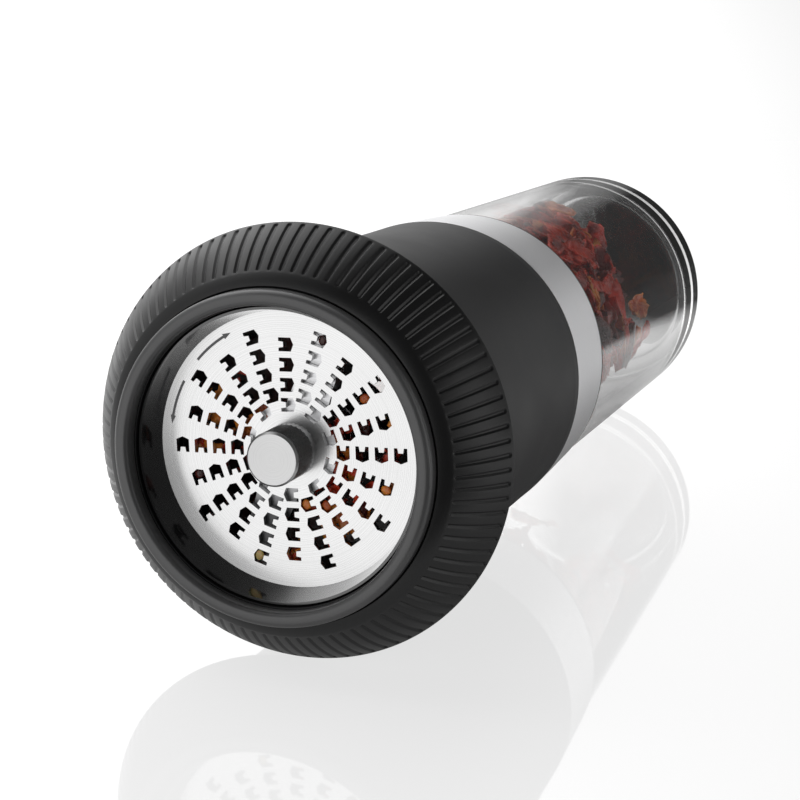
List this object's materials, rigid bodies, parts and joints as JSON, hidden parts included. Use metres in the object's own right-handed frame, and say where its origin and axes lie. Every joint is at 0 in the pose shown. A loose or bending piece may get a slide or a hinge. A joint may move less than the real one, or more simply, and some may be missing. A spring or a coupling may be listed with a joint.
{
  "type": "chilli grinder",
  "caption": "Hand-twisted chilli cutter: a grooved ring turns a toothed steel disc under a sprung blade, fed by a clear container on a smooth dark body.",
  "frame": {"origin": "centre of the lip that the part stands on", "axes": "+Z along the common axis, from the lip towards the container's closed end; +X along the first spoke of holes"},
  "size_m": [0.066, 0.066, 0.166],
  "materials": {
    "clear_acrylic": "clear polished",
    "seal_rubber": "matte",
    "inner_plastic": "moulded",
    "band_steel": "brushed round",
    "soft_touch": "soft touch",
    "plain_steel": "plain",
    "blade_steel": "ground",
    "glide_plastic": "waxy",
    "grip_rubber": "satin",
    "satin_black": "satin",
    "gloss_black": "polished",
    "disc_steel": "fine satin",
    "knob_steel": "knurled, satin end"
  },
  "bodies": {
    "body": {"body_shell": "soft_touch", "jar_socket": "inner_plastic", "steel_band": "band_steel", "container_seal": "seal_rubber", "hopper": "inner_plastic", "spider": "inner_plastic", "spider_screws": "plain_steel", "shaft": "plain_steel", "shaft_washer": "plain_steel", "shaft_nut": "plain_steel", "blade_spring": "plain_steel"},
    "ring": {"ring_hub": "inner_plastic", "rotor_sleeve": "inner_plastic", "retaining_ring": "plain_steel", "glide_ring": "glide_plastic", "grip_ring": "grip_rubber", "ring_back_plate": "satin_black", "bezel_ring": "satin_black"},
    "disc": {"disc_carrier": "gloss_black", "cutting_disc": "disc_steel", "knob": "knob_steel", "knob_washer": "plain_steel"},
    "blade": {"blade_bar": "blade_steel", "spring_seat": "plain_steel"},
    "container": {"container": "clear_acrylic"}
  },
  "joints": [
    {"name": "ring_turn", "type": "hinge", "parent": "body", "child": "ring", "pos_m": [0, 0, 0.0133], "axis": [0, 0, 1], "continuous": true},
    {"name": "disc_release", "type": "hinge", "parent": "ring", "child": "disc", "pos_m": [0, 0, 0.0081], "axis": [0, 0, 1], "range_deg": [0, 60]},
    {"name": "blade_float", "type": "slide", "parent": "body", "child": "blade", "axis": [0, 0, 1], "range_m": [0, 0.0015], "stiffness_N_per_m": 800, "springref_m": -0.003, "deforming": ["blade_spring"]},
    {"name": "container_off", "type": "slide", "parent": "body", "child": "container", "axis": [0, 0, 1], "range_m": [0, 0.03]}
  ]
}
